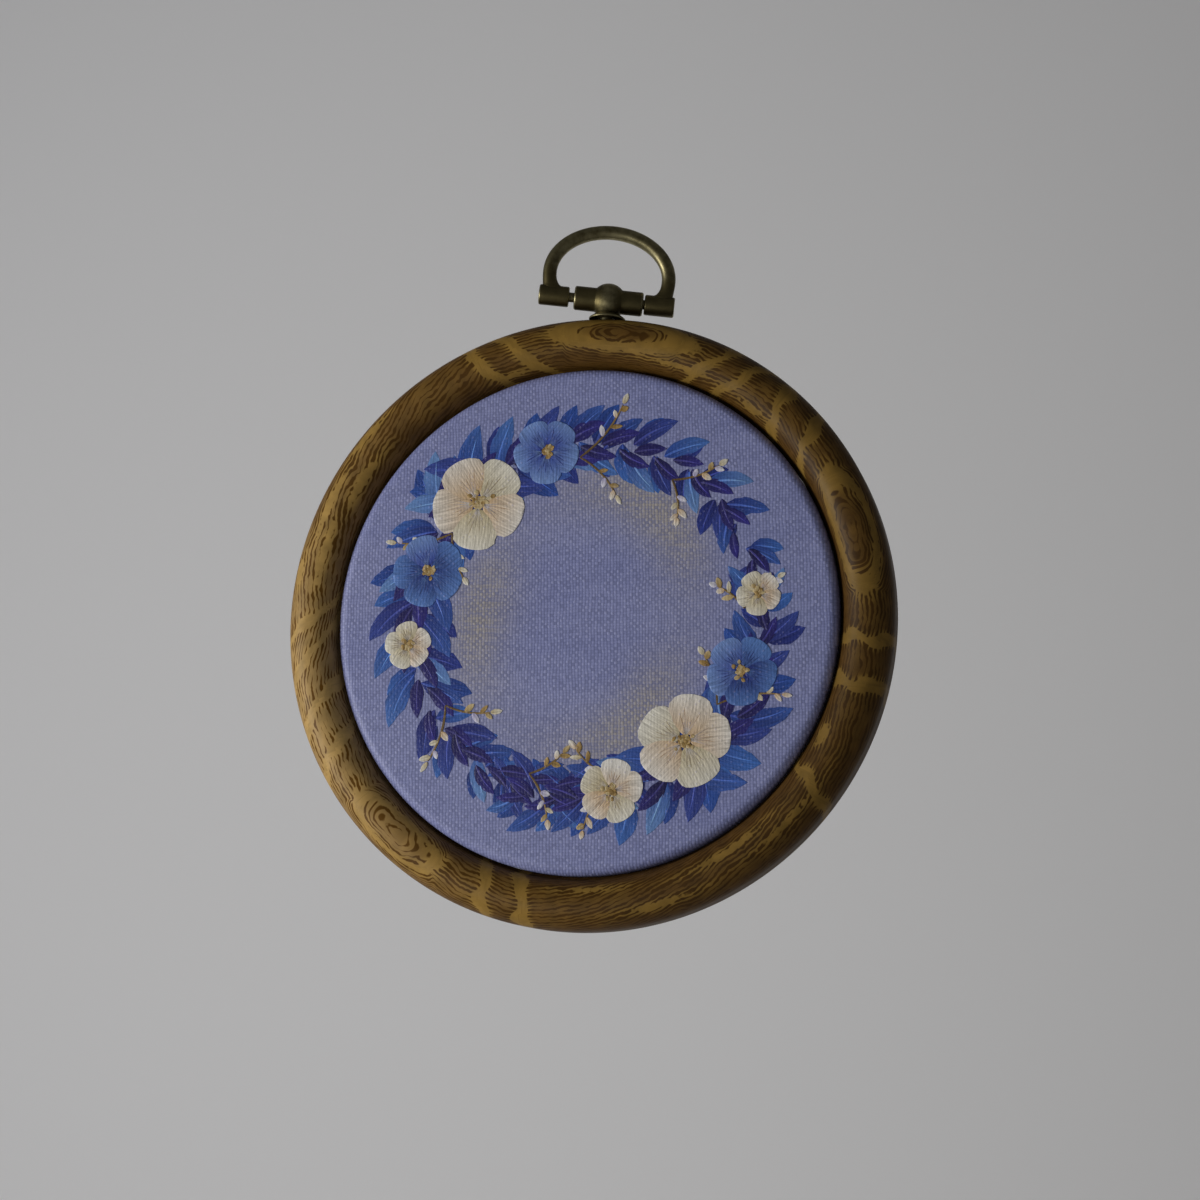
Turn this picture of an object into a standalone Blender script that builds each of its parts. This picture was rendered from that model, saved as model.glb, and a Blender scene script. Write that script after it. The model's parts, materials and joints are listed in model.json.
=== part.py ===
"""A round painted canvas in a woodgrain vinyl hoop, with a hinged brass hanger on top.

Metres, +Z up, and the painted face looks towards -Y. The origin is the point the hoop hangs from: the inside of the
bail's arch, straight above the hoop's centre.
"""

import math

import bmesh
import bpy
from mathutils import Vector

# Outer ring: soft vinyl, half round in front and flat behind
RING_OUTER_RADIUS = 0.0625
RING_WIDTH = 0.0102
RING_BACK = 0.0053
RING_BACK_EDGE = 0.0012
RING_GRIP_FROM = 0.0016

# Canvas: a flat face whose edge rolls back over the inner hoop
CANVAS_RADIUS = 0.0516
CANVAS_THICKNESS = 0.001
CANVAS_FRONT = -0.0028
CANVAS_EDGE_RADIUS = 0.002
CANVAS_SKIRT_END = 0.0046

# Inner hoop: a rigid plastic band inside the canvas
HOOP_WALL = 0.0033
HOOP_BACK = 0.005
HOOP_CHAMFER = 0.0006

# Gap between two pieces that touch in the real object
GAP = 0.0003

# Hanger: its stem is screwed into the soft ring a little askew, so it leans to the right and is turned a little
HANGER_LEAN = math.radians(2.0)
HANGER_TURN = math.radians(13)
HANGER_ROTATION = (0, HANGER_LEAN, HANGER_TURN)
PIN_ABOVE_RING = 0.0041
PIN_RADIUS = 0.001
PIN_CHAMFER = 0.0002

WASHER_RADIUS = 0.00375
WASHER_HOLE_RADIUS = 0.00165
WASHER_CROWN_RADIUS = 0.0025
WASHER_HEIGHT = 0.0007
WASHER_THICKNESS = 0.00025
WASHER_ROUNDING = 0.0001

BALL_RADIUS = 0.00365
KNUCKLE_BARREL_RADIUS = 0.00248
KNUCKLE_HALF_LENGTH = 0.0071
KNUCKLE_CHAMFER = 0.0005
STEM_RADIUS = 0.0012
STEM_TOP = -0.002
STEM_INTO_RING = 0.0062

BAIL_SHIFT = -0.0004
BAIL_WIRE_RADIUS = 0.00143
BAIL_HALF_WIDTH = 0.0123
BAIL_SPRING = 0.0052
BAIL_RISE = 0.0094
BAIL_LEG_FOOT = 0.0006
BAIL_LEG_LEAN_IN = 0.0009
END_BARREL_RADIUS = 0.0021
END_BARREL_FROM = 0.0078
END_BARREL_LENGTH = 0.0062
END_BARREL_CHAMFER = 0.0004
END_BARREL_BLIND_END = 0.001

# Facets round each kind of piece
RING_STEPS = 96
SECTION_STEPS = 16
EDGE_STEPS = 4
SMALL_STEPS = 32
WIRE_SIDES = 18
ARCH_STEPS = 36
LEG_STEPS = 5
WELD = 2e-6

RING_SECTION_RADIUS = RING_WIDTH / 2
RING_MID_RADIUS = RING_OUTER_RADIUS - RING_SECTION_RADIUS
RING_GRIP_RADIUS = CANVAS_RADIUS + GAP
PIN_Z = BAIL_WIRE_RADIUS - BAIL_SPRING - BAIL_RISE
HOOP_CENTRE_FROM_PIN = -PIN_ABOVE_RING - RING_OUTER_RADIUS
BORE_RADIUS = PIN_RADIUS + GAP

ALONG_X, ALONG_Y, ALONG_Z = Vector((1, 0, 0)), Vector((0, 1, 0)), Vector((0, 0, 1))


def clear_scene():
    for obj in list(bpy.data.objects):
        bpy.data.objects.remove(obj, do_unlink=True)


def make_material(name, colour, roughness, metallic=0.0):
    material = bpy.data.materials.new(name)
    material.use_nodes = True
    shader = material.node_tree.nodes["Principled BSDF"]
    shader.inputs["Base Color"].default_value = (*colour, 1.0)
    shader.inputs["Roughness"].default_value = roughness
    shader.inputs["Metallic"].default_value = metallic
    return material


def make_empty(name, location, rotation=(0, 0, 0)):
    empty = bpy.data.objects.new(name, None)
    empty.location = location
    empty.rotation_euler = rotation
    bpy.context.scene.collection.objects.link(empty)
    return empty


def make_object(name, bm, parent, material=None, location=(0, 0, 0), sharp=math.radians(35)):
    """An object from a bmesh, shaded smooth, with its place given under its parent."""
    bmesh.ops.recalc_face_normals(bm, faces=bm.faces)
    mesh = bpy.data.meshes.new(name)
    bm.to_mesh(mesh)
    bm.free()
    mesh.shade_smooth()
    mesh.set_sharp_from_angle(angle=sharp)
    obj = bpy.data.objects.new(name, mesh)
    obj.parent = parent
    obj.location = location
    if material:
        mesh.materials.append(material)
    bpy.context.scene.collection.objects.link(obj)
    return obj


def boolean(obj, other, operation):
    """Joins a hidden helper to the object, or cuts it away."""
    other.hide_render = True
    other.display_type = "WIRE"
    modifier = obj.modifiers.new(f"{operation.lower()} {other.name}", "BOOLEAN")
    modifier.operation = operation
    modifier.solver = "EXACT"
    modifier.object = other


def arc(centre, radius, start, end, steps):
    """Points of a round stretch of an outline, from one angle in degrees to another."""
    angles = [math.radians(start + (end - start) * i / steps) for i in range(steps + 1)]
    return [(centre[0] + radius * math.cos(a), centre[1] + radius * math.sin(a)) for a in angles]


def turned(profile, axis, steps):
    """A (radius, along) outline turned once round the axis. One that starts on the axis also ends there."""
    out = axis.orthogonal().normalized()
    bm = bmesh.new()
    verts = [bm.verts.new(out * radius + axis * along) for radius, along in profile]
    pairs = list(zip(verts, verts[1:]))
    if profile[0][0] > 0:
        pairs.append((verts[-1], verts[0]))
    edges = [bm.edges.new(pair) for pair in pairs]
    bmesh.ops.spin(
        bm, geom=verts + edges, cent=(0, 0, 0), axis=axis, dvec=(0, 0, 0), angle=math.tau, steps=steps
    )
    bmesh.ops.remove_doubles(bm, verts=bm.verts, dist=WELD)
    return bm


def rod_profile(radius, start, end, chamfer):
    """Outline of a plain rod with chamfered ends, from the axis out and back."""
    return [
        (0, start),
        (radius - chamfer, start),
        (radius, start + chamfer),
        (radius, end - chamfer),
        (radius - chamfer, end),
        (0, end),
    ]


def outer_ring_profile():
    inner = RING_MID_RADIUS - RING_SECTION_RADIUS
    behind = RING_BACK - RING_BACK_EDGE
    front = arc((RING_MID_RADIUS, 0), RING_SECTION_RADIUS, 0, -180, SECTION_STEPS)
    grip = [(RING_GRIP_RADIUS, RING_GRIP_FROM)]
    inner_edge = arc((RING_GRIP_RADIUS + RING_BACK_EDGE, behind), RING_BACK_EDGE, 180, 90, EDGE_STEPS)
    outer_edge = arc((RING_OUTER_RADIUS - RING_BACK_EDGE, behind), RING_BACK_EDGE, 90, 0, EDGE_STEPS)
    assert abs(front[-1][0] - inner) < WELD
    return front + grip + inner_edge + outer_edge


def canvas_profile():
    rolled = (CANVAS_RADIUS - CANVAS_EDGE_RADIUS, CANVAS_FRONT + CANVAS_EDGE_RADIUS)
    front = arc(rolled, CANVAS_EDGE_RADIUS, -90, 0, EDGE_STEPS)
    back = arc(rolled, CANVAS_EDGE_RADIUS - CANVAS_THICKNESS, 0, -90, EDGE_STEPS)
    skirt = [(CANVAS_RADIUS, CANVAS_SKIRT_END), (CANVAS_RADIUS - CANVAS_THICKNESS, CANVAS_SKIRT_END)]
    return [(0, CANVAS_FRONT)] + front + skirt + back + [(0, CANVAS_FRONT + CANVAS_THICKNESS)]


def inner_hoop_profile():
    outer = CANVAS_RADIUS - CANVAS_THICKNESS - GAP
    inner = outer - HOOP_WALL
    front = CANVAS_FRONT + CANVAS_THICKNESS + GAP
    chamfer = HOOP_CHAMFER
    return [
        (inner, front + chamfer),
        (inner + chamfer, front),
        (outer - chamfer, front),
        (outer, front + chamfer),
        (outer, HOOP_BACK - chamfer),
        (outer - chamfer, HOOP_BACK),
        (inner + chamfer, HOOP_BACK),
        (inner, HOOP_BACK - chamfer),
    ]


def washer_profile():
    """A cup washer: a thin sheet that rises from its rim to a crown, then dips under the ball towards the stem."""
    low = RING_OUTER_RADIUS + GAP
    high = low + WASHER_HEIGHT
    crown, rounding = WASHER_CROWN_RADIUS, WASHER_ROUNDING
    return [
        (WASHER_HOLE_RADIUS, low),
        (crown, high - WASHER_THICKNESS - rounding / 2),
        (WASHER_RADIUS - rounding, low),
        (WASHER_RADIUS, low + rounding),
        (WASHER_RADIUS - rounding / 2, low + WASHER_THICKNESS),
        (crown + rounding, high),
        (crown - rounding, high - rounding / 2),
        (WASHER_HOLE_RADIUS, low + WASHER_THICKNESS - rounding / 2),
    ]


def knuckle_profile():
    """The ball between two side barrels, with the pin's bore right through them."""
    joins = math.degrees(math.acos(KNUCKLE_BARREL_RADIUS / BALL_RADIUS))
    ball = [(r, a) for r, a in arc((0, 0), BALL_RADIUS, -joins, joins, 10)]
    end, barrel, chamfer = KNUCKLE_HALF_LENGTH, KNUCKLE_BARREL_RADIUS, KNUCKLE_CHAMFER
    left = [(BORE_RADIUS, -end), (barrel - chamfer, -end), (barrel, chamfer - end)]
    right = [(barrel, end - chamfer), (barrel - chamfer, end), (BORE_RADIUS, end)]
    return left + ball + right


def bail_path():
    """The wire's centre line: half an ellipse on two legs that curve inwards to their barrels."""
    leg = BAIL_SPRING - BAIL_LEG_FOOT
    half = []
    for i in range(LEG_STEPS):
        below = leg * (1 - i / LEG_STEPS)
        inwards = BAIL_LEG_LEAN_IN * (below / leg) ** 2
        half.append((BAIL_HALF_WIDTH - inwards, BAIL_SPRING - below))
    for i in range(ARCH_STEPS // 2):
        angle = math.pi * i / ARCH_STEPS
        half.append((BAIL_HALF_WIDTH * math.cos(angle), BAIL_SPRING + BAIL_RISE * math.sin(angle)))
    top = [(0, BAIL_SPRING + BAIL_RISE)]
    points = [(-u, v) for u, v in half] + top + half[::-1]
    return [Vector((u + BAIL_SHIFT, 0, v)) for u, v in points]


def swept(path, radius, sides):
    """A round wire along a path in the XZ plane, closed at both ends."""
    bm = bmesh.new()
    rings = []
    for i, point in enumerate(path):
        along = (path[min(i + 1, len(path) - 1)] - path[max(i - 1, 0)]).normalized()
        across = ALONG_Y.cross(along)
        angles = [math.tau * k / sides for k in range(sides)]
        rings.append(
            [bm.verts.new(point + radius * (across * math.cos(a) + ALONG_Y * math.sin(a))) for a in angles]
        )
    for first, second in zip(rings, rings[1:]):
        for k in range(sides):
            following = (k + 1) % sides
            bm.faces.new((first[k], first[following], second[following], second[k]))
    bm.faces.new(rings[0])
    bm.faces.new(rings[-1])
    return bm


def make_hoop(pivot):
    """The ring, the canvas and the inner hoop, all turned round the hoop's own axis."""
    centre = (0, 0, HOOP_CENTRE_FROM_PIN)
    vinyl = make_material("woodgrain_vinyl", (0.30, 0.19, 0.075), 0.5)
    ring = make_object("outer_ring", turned(outer_ring_profile(), ALONG_Y, RING_STEPS), pivot, vinyl, centre)
    stem_end = -PIN_ABOVE_RING - STEM_INTO_RING - GAP
    hole = rod_profile(STEM_RADIUS + GAP, stem_end, -BALL_RADIUS / 2, PIN_CHAMFER)
    cutter = make_object("stem_hole_cutter", turned(hole, ALONG_Z, SMALL_STEPS), pivot)
    cutter.rotation_euler = HANGER_ROTATION
    boolean(ring, cutter, "DIFFERENCE")

    cloth = make_material("primed_canvas", (0.22, 0.23, 0.45), 0.8)
    make_object("canvas", turned(canvas_profile(), ALONG_Y, RING_STEPS), pivot, cloth, centre)
    plastic = make_material("moulded_plastic", (0.62, 0.58, 0.50), 0.45)
    make_object("inner_hoop", turned(inner_hoop_profile(), ALONG_Y, RING_STEPS), pivot, plastic, centre)


def make_hanger_foot(pivot, brass):
    """The washer on the ring, and the knuckle whose stem goes down into it."""
    centre = (0, 0, HOOP_CENTRE_FROM_PIN)
    make_object("hanger_washer", turned(washer_profile(), ALONG_Z, SMALL_STEPS), pivot, brass, centre)

    knuckle = make_object("hanger_knuckle", turned(knuckle_profile(), ALONG_X, SMALL_STEPS), pivot, brass)
    stem = rod_profile(STEM_RADIUS, -PIN_ABOVE_RING - STEM_INTO_RING, STEM_TOP, PIN_CHAMFER)
    helper = make_object("stem", turned(stem, ALONG_Z, SMALL_STEPS), pivot)
    for obj in (knuckle, helper):
        obj.rotation_euler = HANGER_ROTATION
    boolean(knuckle, helper, "UNION")


def make_bail(pivot, brass):
    """The wire loop and its two barrels, each with a blind bore for the pin, and the pin itself."""
    bail = make_object("hanger_bail", swept(bail_path(), BAIL_WIRE_RADIUS, WIRE_SIDES), pivot, brass)
    barrels = {}
    for side, name in ((-1, "left"), (1, "right")):
        near = BAIL_SHIFT + side * END_BARREL_FROM
        far = near + side * END_BARREL_LENGTH
        low, high = min(near, far), max(near, far)
        outline = rod_profile(END_BARREL_RADIUS, low, high, END_BARREL_CHAMFER)
        helper = make_object(f"barrel_{name}", turned(outline, ALONG_X, SMALL_STEPS), pivot)
        boolean(bail, helper, "UNION")
        barrels[name] = (near, far, side)
    for name, (near, far, side) in barrels.items():
        mouth, bottom = near - side * GAP, far - side * END_BARREL_BLIND_END
        outline = [(0, mouth), (BORE_RADIUS, mouth), (BORE_RADIUS, bottom), (0, bottom)]
        cutter = make_object(f"bore_cutter_{name}", turned(outline, ALONG_X, SMALL_STEPS), pivot)
        boolean(bail, cutter, "DIFFERENCE")

    reach = END_BARREL_FROM + END_BARREL_LENGTH - END_BARREL_BLIND_END - GAP
    outline = rod_profile(PIN_RADIUS, BAIL_SHIFT - reach, BAIL_SHIFT + reach, PIN_CHAMFER)
    make_object("hinge_pin", turned(outline, ALONG_X, SMALL_STEPS), pivot, brass)


clear_scene()
hoop_pivot = make_empty("hoop_pivot", (0, 0, PIN_Z))
bail_pivot = make_empty("bail_pivot", (0, 0, PIN_Z), HANGER_ROTATION)
antique_brass = make_material("antique_brass", (0.10, 0.085, 0.045), 0.42, 1.0)
make_hoop(hoop_pivot)
make_hanger_foot(hoop_pivot, antique_brass)
make_bail(bail_pivot, antique_brass)
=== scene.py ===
import json
import math

import bpy
import numpy as np
from mathutils import Matrix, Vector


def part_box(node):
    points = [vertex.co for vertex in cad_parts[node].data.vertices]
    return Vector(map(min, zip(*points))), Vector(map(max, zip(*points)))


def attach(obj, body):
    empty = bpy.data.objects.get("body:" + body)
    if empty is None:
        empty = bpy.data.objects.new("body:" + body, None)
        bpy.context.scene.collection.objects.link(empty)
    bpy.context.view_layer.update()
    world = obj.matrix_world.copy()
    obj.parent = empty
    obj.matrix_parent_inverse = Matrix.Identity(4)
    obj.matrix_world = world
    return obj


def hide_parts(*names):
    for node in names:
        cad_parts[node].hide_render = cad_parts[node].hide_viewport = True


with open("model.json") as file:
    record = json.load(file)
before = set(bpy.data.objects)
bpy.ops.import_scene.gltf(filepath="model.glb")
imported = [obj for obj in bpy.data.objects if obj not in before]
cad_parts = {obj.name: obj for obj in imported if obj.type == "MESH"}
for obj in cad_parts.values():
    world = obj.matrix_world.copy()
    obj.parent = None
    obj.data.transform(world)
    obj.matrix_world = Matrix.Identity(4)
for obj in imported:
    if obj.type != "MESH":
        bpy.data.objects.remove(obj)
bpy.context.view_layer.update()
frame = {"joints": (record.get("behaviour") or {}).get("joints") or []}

# Inner hoop
# A rigid band of cream polypropylene, injection moulded, that carries the canvas. Only its back edge and its
# bore show, from behind, and the bore has the faint parting line of its mould.
MM = 0.001
hoop_low, hoop_high = (np.array(corner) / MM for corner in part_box("inner_hoop"))
HOOP_CENTRE = (hoop_low + hoop_high) / 2 * (1, 0, 1)
HOOP_OUTER = (hoop_high[0] - hoop_low[0]) / 2
HOOP_WALL = 3.3
HOOP_EDGE = 0.7
HOOP_SINK = 0.12
PARTING_LINE = 0.08
HOOP_STEPS = 240
ROUND_STEPS = 6
FORWARD, UP = np.array([0.0, 1.0, 0.0]), np.array([0.0, 0.0, 1.0])


def linear(hex_colour):
    """An sRGB hex colour as linear RGB, ((c + 0.055) / 1.055) ^ 2.4 or c / 12.92 where dark, and alpha 1."""
    c = np.array([int(hex_colour[i:i + 2], 16) for i in (1, 3, 5)]) / 255
    return np.append(np.where(c > 0.04045, ((c + 0.055) / 1.055) ** 2.4, c / 12.92), 1)


def rounded(outline, cut):
    """Each corner B of an outline becomes a parabola, (1-t)^2 A + 2t(1-t) B + t^2 C, a cut to each side."""
    corner = np.array(outline, float)
    before, after = np.roll(corner, 1, 0) - corner, np.roll(corner, -1, 0) - corner
    lengths = [np.linalg.norm(side, axis=1, keepdims=True) for side in (before, after)]
    start, end = (
        corner + side / length * np.minimum(np.reshape(cut, (-1, 1)), length * 0.49)
        for side, length in zip((before, after), lengths)
    )
    t = np.linspace(0, 1, ROUND_STEPS + 1)[None, :, None]
    curve = (1 - t) ** 2 * start[:, None] + 2 * t * (1 - t) * corner[:, None] + t**2 * end[:, None]
    return curve.reshape(-1, 2)


def turned(profile, steps, centre=HOOP_CENTRE, axis=FORWARD, start=UP):
    """A (radius, along) profile carried round: along axis + radius (start cos a + (axis x start) sin a)."""
    a = np.linspace(0, math.tau, steps, endpoint=False)[:, None, None]
    radius, along = (np.array(profile, float)[None, :, k, None] for k in (0, 1))
    return centre + along * axis + radius * (start * np.cos(a) + np.cross(axis, start) * np.sin(a))


def grid_faces(rows, columns, round_rows=True, round_columns=True):
    """Quads (i, j), (i+1, j), (i+1, j+1), (i, j+1) over a grid that may close on itself either way."""
    row, column = np.arange(rows - (not round_rows)), np.arange(columns - (not round_columns))
    i, j = np.meshgrid(row, column, indexing="ij")
    corners = [(i, j), (i + 1, j), (i + 1, j + 1), (i, j + 1)]
    return np.stack([(a % rows) * columns + b % columns for a, b in corners], -1).reshape(-1, 4)


def build(name, points, *faces, corner_values=None, sharp=35):
    """A closed mesh in metres from points in mm, faces outwards: the sum of a . (b x c) is positive."""
    points = points.reshape(-1, 3)
    volume = sum(
        np.einsum("ij,ij", points[f[:, 0]], np.cross(points[f[:, k]], points[f[:, k + 1]]))
        for f in faces
        for k in range(1, f.shape[1] - 1)
    )
    turn = slice(None, None, 1 if volume > 0 else -1)
    corners = np.concatenate([f[:, turn].ravel() for f in faces])
    sides = np.concatenate([np.full(len(f), f.shape[1]) for f in faces])
    mesh = bpy.data.meshes.new(name)
    mesh.vertices.add(len(points))
    mesh.vertices.foreach_set("co", (points * MM).astype(np.float32).ravel())
    mesh.loops.add(len(corners))
    mesh.loops.foreach_set("vertex_index", corners.astype(np.int32))
    mesh.polygons.add(len(sides))
    mesh.polygons.foreach_set("loop_start", (np.cumsum(sides) - sides).astype(np.int32))
    mesh.update(calc_edges=True)
    for key, values in (corner_values or {}).items():
        kind = ("FLOAT", "value") if values.ndim == 2 else ("FLOAT_VECTOR", "vector")
        attribute = mesh.attributes.new(key, kind[0], "CORNER")
        attribute.data.foreach_set(kind[1], values[:, turn].astype(np.float32).ravel())
    mesh.shade_smooth()
    mesh.set_sharp_from_angle(angle=math.radians(sharp))
    piece = bpy.data.objects.new(name, mesh)
    bpy.context.scene.collection.objects.link(piece)
    return piece


def add(tree, kind, inputs=None, out=0, **settings):
    """Adds a shader node with settings and inputs, each a value or a node's output, and gives an output."""
    node = tree.nodes.new(kind)
    for key, value in settings.items():
        setattr(node, key, value)
    for key, value in (inputs or {}).items():
        if isinstance(value, bpy.types.NodeSocket):
            tree.links.new(value, node.inputs[key])
        else:
            node.inputs[key].default_value = value
    return node.outputs[out]


def new_material(name, roughness, metallic=0.0, ior=1.5):
    """A Principled material with its constant values on the shader: gives the material, nodes and shader."""
    material = bpy.data.materials.new(name)
    material.use_nodes = True
    shader = material.node_tree.nodes["Principled BSDF"]
    shader.inputs["Roughness"].default_value = roughness
    shader.inputs["Metallic"].default_value = metallic
    shader.inputs["IOR"].default_value = ior
    return material, material.node_tree, shader


def polypropylene_moulded():
    """Cream polypropylene from a polished mould: a satin skin, clouded over 11 mm and rippled over 1 mm."""
    material, tree, shader = new_material("polypropylene_moulded_cream", 0.42, ior=1.49)
    place = add(tree, "ShaderNodeTexCoord", out="Object")
    cloud = add(tree, "ShaderNodeTexNoise", {"Vector": place, "Scale": 90.0, "Detail": 3.0})
    ripple = add(tree, "ShaderNodeTexNoise", {"Vector": place, "Scale": 900.0, "Detail": 2.0})
    tint = {0: cloud, 6: linear("#D8CDB4"), 7: linear("#EAE2CD")}
    colour = add(tree, "ShaderNodeMix", tint, out=2, data_type="RGBA")
    tree.links.new(colour, shader.inputs["Base Color"])
    bump = add(tree, "ShaderNodeBump", {"Height": ripple, "Strength": 0.25, "Distance": 0.00004})
    tree.links.new(bump, shader.inputs["Normal"])
    return material


front, back = hoop_low[1] + HOOP_SINK, hoop_high[1]
inner = HOOP_OUTER - HOOP_WALL
middle = (front + back) / 2
hoop_outline = rounded(
    [(inner, front), (HOOP_OUTER, front), (HOOP_OUTER, back), (inner, back)], HOOP_EDGE
)
bore = np.array([(inner, middle + 0.25), (inner - PARTING_LINE, middle), (inner, middle - 0.25)])
hoop_points = turned(np.concatenate([hoop_outline, bore]), HOOP_STEPS)
inner_hoop = build("inner_hoop_moulding", hoop_points, grid_faces(*hoop_points.shape[:2]))
inner_hoop.data.materials.append(polypropylene_moulded())
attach(inner_hoop, "hoop")
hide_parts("inner_hoop")

# Canvas
# One round cut of primed cotton canvas, pulled over the inner hoop and turned back round its edge as a skirt.
# The front is painted in acrylic to the edge and the plain weave shows through; the back is bare cotton.
canvas_low, canvas_high = (np.array(corner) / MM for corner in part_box("canvas"))
CANVAS_RADIUS = (canvas_high[0] - canvas_low[0]) / 2
CANVAS_FRONT = canvas_low[1]
CANVAS_THICKNESS = 1.0
CANVAS_ROLL = 2.0
CANVAS_STEPS = 360
# Laid flat, the cut has 49.6 mm of face, 3.1 mm of roll and 5.4 mm of skirt on each side of its middle
SKIRT_FRAY = 0.12
THREAD_ACROSS, THREAD_UP = 0.65, 0.60
WEAVE_TURN = math.radians(4.15)


def slack(x, z):
    """How far the cloth lies off its plane, in mm: three long shallow waves and faint pulls round the rim."""
    radius, clock = np.hypot(x, z), np.arctan2(x, z)
    waves = 0.05 * np.cos(x / 13 + 0.8) + 0.045 * np.cos(z / 11 - 0.4) + 0.03 * np.cos((x - z) / 8)
    pulls = 0.03 * np.cos(17 * clock + 0.6 * np.sin(3 * clock)) * (radius / CANVAS_RADIUS) ** 6
    return (waves + pulls) * np.clip((CANVAS_RADIUS - 1.5 - radius) / 8, 0, 1)


def weave_height(tree, place):
    """Plain weave at its real thread spacing, from 0 in the pits to about 1 on the crowns.

    Across a thread the height is sin(pi a) to a power below 1, which broadens its crown. Along it the thread
    goes over and under as level + swing sin(pi (b + i)), where i is its number. The higher of warp and weft
    shows, the threads wander by up to half a millimetre, and white noise sets each crossing's own height.
    """
    wander = add(
        tree, "ShaderNodeTexNoise",
        {"Vector": place, "Scale": 160.0, "Detail": 4.0, "Roughness": 0.65}, out="Color",
    )
    drift = add(tree, "ShaderNodeVectorMath", {0: wander, 1: (0.0011,) * 3}, operation="MULTIPLY")
    moved = add(tree, "ShaderNodeVectorMath", {0: place, 1: drift}, operation="ADD")
    aligned = add(
        tree, "ShaderNodeMapping", {"Vector": moved, "Rotation": (0, WEAVE_TURN, 0)}, vector_type="POINT"
    )
    spaced = add(
        tree, "ShaderNodeVectorMath", {0: aligned, 1: (1 / (THREAD_ACROSS * MM), 1, 1 / (THREAD_UP * MM))},
        operation="MULTIPLY",
    )
    split = add(tree, "ShaderNodeSeparateXYZ", {0: spaced}).node
    warp, weft = split.outputs[0], split.outputs[2]
    crowns = []
    for own, other, swing, level, round_way in ((warp, weft, 0.42, 0.6, 0.6), (weft, warp, -0.3, 0.32, 0.3)):
        thread = add(tree, "ShaderNodeMath", {0: own}, operation="FLOOR")
        within = add(tree, "ShaderNodeMath", {0: own}, operation="FRACT")
        arch_angle = add(tree, "ShaderNodeMath", {0: within, 1: math.pi}, operation="MULTIPLY")
        arch = add(tree, "ShaderNodeMath", {0: arch_angle}, operation="SINE")
        rounded_arch = add(tree, "ShaderNodeMath", {0: arch, 1: round_way}, operation="POWER")
        along = add(tree, "ShaderNodeMath", {0: other, 1: thread}, operation="ADD")
        wave_angle = add(tree, "ShaderNodeMath", {0: along, 1: math.pi}, operation="MULTIPLY")
        wave = add(tree, "ShaderNodeMath", {0: wave_angle}, operation="SINE")
        over = add(tree, "ShaderNodeMath", {0: wave, 1: swing, 2: level}, operation="MULTIPLY_ADD")
        crowns.append(add(tree, "ShaderNodeMath", {0: rounded_arch, 1: over}, operation="MULTIPLY"))
    shown = add(tree, "ShaderNodeMath", {0: crowns[0], 1: crowns[1], 2: 0.25}, operation="SMOOTH_MAX")
    cell = add(tree, "ShaderNodeVectorMath", {0: spaced}, operation="FLOOR")
    uneven = add(tree, "ShaderNodeTexWhiteNoise", {"Vector": cell}, out="Value", noise_dimensions="3D")
    level = add(
        tree, "ShaderNodeMapRange",
        {"Value": uneven, "From Min": 0.0, "From Max": 1.0, "To Min": 0.56, "To Max": 1.14},
    )
    return add(tree, "ShaderNodeMath", {0: shown, 1: level}, operation="MULTIPLY")


def weave_bump(tree, shader, height, strength, distance):
    """Puts the weave's relief on the shader's normal, with a surface grain drawn 0.4 mm coarse to show."""
    place = add(tree, "ShaderNodeTexCoord", out="Object")
    grain = add(tree, "ShaderNodeTexNoise", {"Vector": place, "Scale": 2600.0, "Detail": 2.0})
    rough = add(tree, "ShaderNodeMath", {0: grain, 1: 0.22, 2: height}, operation="MULTIPLY_ADD")
    bump = add(tree, "ShaderNodeBump", {"Height": rough, "Strength": strength, "Distance": distance})
    tree.links.new(bump, shader.inputs["Normal"])


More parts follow.
